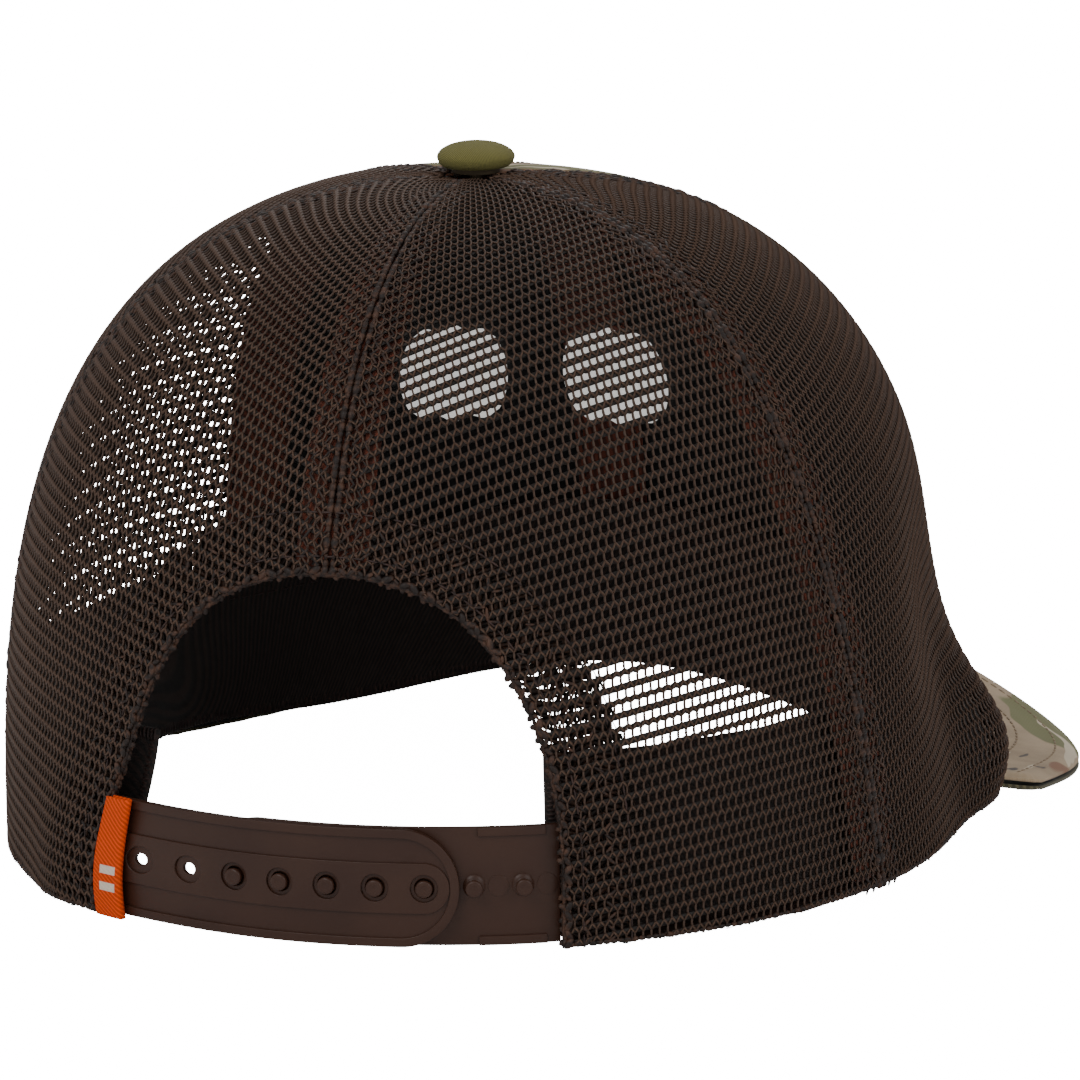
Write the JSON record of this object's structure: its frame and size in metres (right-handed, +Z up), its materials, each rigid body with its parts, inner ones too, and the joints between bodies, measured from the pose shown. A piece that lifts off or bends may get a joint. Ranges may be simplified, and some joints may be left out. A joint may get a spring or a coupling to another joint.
{
  "type": "trucker mesh cap",
  "caption": "Mesh-backed cap with a printed front, curved visor, covered top button and a rear arch closed by an adjustable snap strap.",
  "frame": {"origin": "centre of the bounding box at table level, cap standing on the side edges of its visor and its rear hem", "axes": "+Z up, the cap faces -Y, the wearer's right is -X"},
  "size_m": [0.1904, 0.2554, 0.1342],
  "materials": {
    "mesh_knit": "matt dark brown honeycomb warp knit, open holes",
    "printed_twill": "matt cotton twill printed with tan, green and brown camouflage",
    "stiffener": "matt near-black stiffened lining",
    "seam_tape": "matt reddish brown woven tape",
    "sweatband_twill": "matt dark brown twill",
    "padding": "matt non-woven padding",
    "strap_plastic": "satin chocolate brown moulded plastic",
    "tag_twill": "orange woven ribbon with two pale stripes",
    "button_cloth": "matt olive green woven cloth",
    "button_metal": "plain stamped metal",
    "visor_plastic": "plain moulded board, hidden by its covers",
    "under_twill": "matt dark green twill"
  },
  "bodies": {
    "crown": {"mesh_back_left": "mesh_knit", "mesh_back_right": "mesh_knit", "mesh_side_left": "mesh_knit", "mesh_side_right": "mesh_knit", "front_panel_left": "printed_twill", "front_panel_right": "printed_twill", "stiffener_left": "stiffener", "stiffener_right": "stiffener", "tape_centre_back": "seam_tape", "tape_rear_left": "seam_tape", "tape_rear_right": "seam_tape", "tape_front_left": "seam_tape", "tape_front_right": "seam_tape", "tape_centre_front": "seam_tape", "arch_facing": "mesh_knit", "sweatband": "sweatband_twill", "sweatband_padding": "padding", "button_cover": "button_cloth", "button_shell": "button_metal", "button_post": "button_metal", "button_backing": "button_metal", "visor_top_cover": "printed_twill", "visor_board": "visor_plastic", "visor_under_cover": "under_twill"},
    "outer_strap": {"outer_strap": "strap_plastic"},
    "inner_strap": {"inner_strap": "strap_plastic"},
    "flag_label": {"flag_label": "tag_twill"}
  },
  "joints": [
    {"name": "outer_strap_swing", "type": "hinge", "parent": "crown", "child": "outer_strap", "pos_m": [0.04284, 0.11792, 0.01154], "axis": [0, -0.0515, -0.9987], "range_deg": [0, 60], "stiffness_Nm_per_rad": 0.02},
    {"name": "inner_strap_swing", "type": "hinge", "parent": "crown", "child": "inner_strap", "pos_m": [-0.04049, 0.11368, 0.01176], "axis": [0, -0.0515, -0.9987], "range_deg": [0, 35], "stiffness_Nm_per_rad": 0.02},
    {"name": "flag_label_flip", "type": "hinge", "parent": "outer_strap", "child": "flag_label", "pos_m": [0.04284, 0.11792, 0.01154], "axis": [0, -0.0515, -0.9987], "range_deg": [0, 70], "stiffness_Nm_per_rad": 0.0004}
  ]
}
